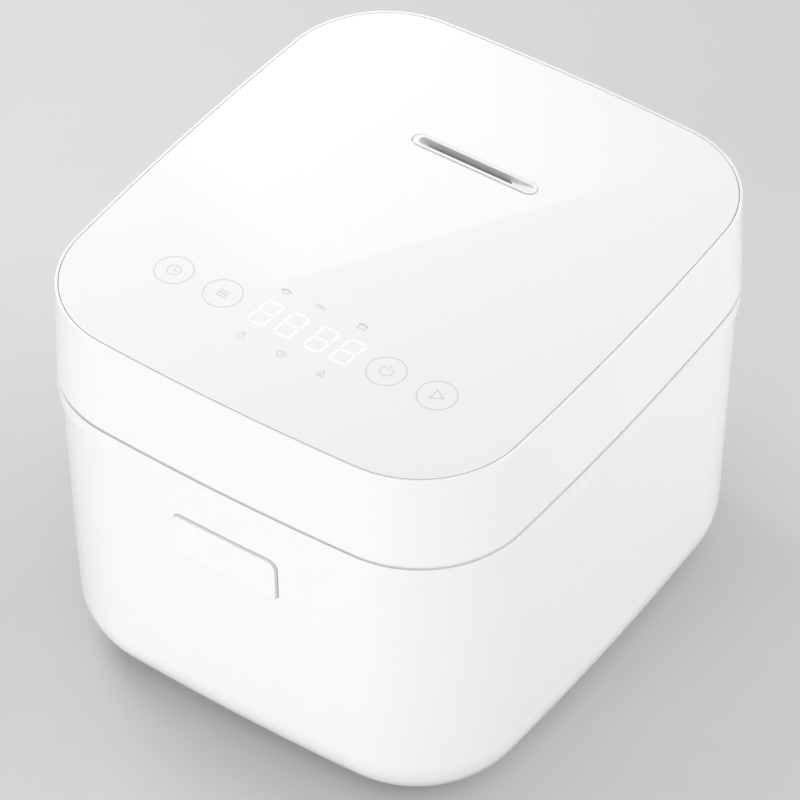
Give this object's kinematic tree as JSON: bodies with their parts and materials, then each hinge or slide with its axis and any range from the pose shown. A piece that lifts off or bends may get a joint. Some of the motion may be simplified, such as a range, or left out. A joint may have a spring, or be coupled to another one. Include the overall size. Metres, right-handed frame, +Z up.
{
  "type": "rice cooker",
  "caption": "Glossy white rice cooker with a rounded square body, hinged lid, touch panel with a segment display, steam slot, front release button and inner pot.",
  "frame": {"origin": "middle of the underside, on the surface that the cooker stands on", "axes": "+Z up, front towards -Y, hinge at +Y"},
  "size_m": [0.25, 0.282, 0.22],
  "materials": {
    "white_gloss": "glossy moulded white",
    "panel_gloss": "polished white panel",
    "white_matte": "satin white moulding",
    "grey_plastic": "satin grey moulding",
    "black_plastic": "fine textured black moulding",
    "clear_grey_plastic": "satin pale grey moulding",
    "rubber_dark": "matt dark rubber",
    "silicone": "soft pale silicone",
    "board_green": "solder-masked board",
    "steel": "plain steel",
    "zinc_sheet": "zinc-coated sheet",
    "cast_aluminium": "machined cast aluminium",
    "inner_lid_metal": "bright anodised sheet",
    "pot_coating": "dark non-stick coating on aluminium",
    "brass_pins": "plated brass blades"
  },
  "bodies": {
    "body": {"body_shell": "white_gloss", "base_plate": "grey_plastic", "base_screws": "steel", "foot_front_left": "rubber_dark", "foot_back_left": "rubber_dark", "foot_front_right": "rubber_dark", "foot_back_right": "rubber_dark", "power_board": "board_green", "relay": "black_plastic", "transformer": "black_plastic", "capacitor": "black_plastic", "board_screws": "steel", "power_inlet": "black_plastic", "inlet_pins": "brass_pins", "inlet_screws": "steel", "top_collar": "white_gloss", "heat_drum": "zinc_sheet", "heater_supports": "steel", "heater_screws": "steel", "heating_plate": "cast_aluminium", "heater_element": "steel", "sensor_guide": "grey_plastic", "sensor_spring": "steel", "thermal_fuse": "steel", "latch_frame": "grey_plastic", "frame_screws": "steel", "button_spring": "steel", "hinge_housing": "white_gloss", "hinge_screws": "steel", "hinge_spring": "steel"},
    "lid": {"lid_shell": "white_gloss", "top_panel": "panel_gloss", "lid_inner_frame": "white_matte", "lid_screws": "steel", "inner_lid": "inner_lid_metal", "pot_gasket": "silicone", "lid_grommet": "silicone", "lid_sensor": "cast_aluminium", "vent_insert": "white_matte", "steam_duct": "clear_grey_plastic", "duct_seal": "silicone", "display_board": "board_green", "display_screws": "steel", "display_module": "black_plastic", "buzzer": "black_plastic", "touch_pad_1": "silicone", "touch_pad_2": "silicone", "touch_pad_3": "silicone", "touch_pad_4": "silicone", "hinge_pin": "steel", "hinge_lug_left": "grey_plastic", "hinge_lug_right": "grey_plastic", "lid_hook": "grey_plastic"},
    "release": {"release_button": "white_gloss", "latch_slide": "grey_plastic"},
    "sensor": {"sensor_plunger": "cast_aluminium"},
    "pot": {"pot_base": "pot_coating", "pot_wall": "pot_coating"}
  },
  "joints": [
    {"name": "lid_hinge", "type": "hinge", "parent": "body", "child": "lid", "pos_m": [0, 0.131, 0.1775], "axis": [-1, 0, 0], "range_deg": [0, 90]},
    {"name": "release_press", "type": "slide", "parent": "body", "child": "release", "axis": [0, 1, 0], "range_m": [0, 0.0032], "stiffness_N_per_m": 900, "springref_m": -0.003, "deforming": ["button_spring"]},
    {"name": "sensor_press", "type": "slide", "parent": "body", "child": "sensor", "axis": [0, 0, 1], "range_m": [-0.002, 0], "stiffness_N_per_m": 1200, "springref_m": 0.003, "deforming": ["sensor_spring"]},
    {"name": "pot_turn", "type": "hinge", "parent": "body", "child": "pot", "pos_m": [0, 0, 0.1], "axis": [0, 0, 1], "continuous": true}
  ]
}
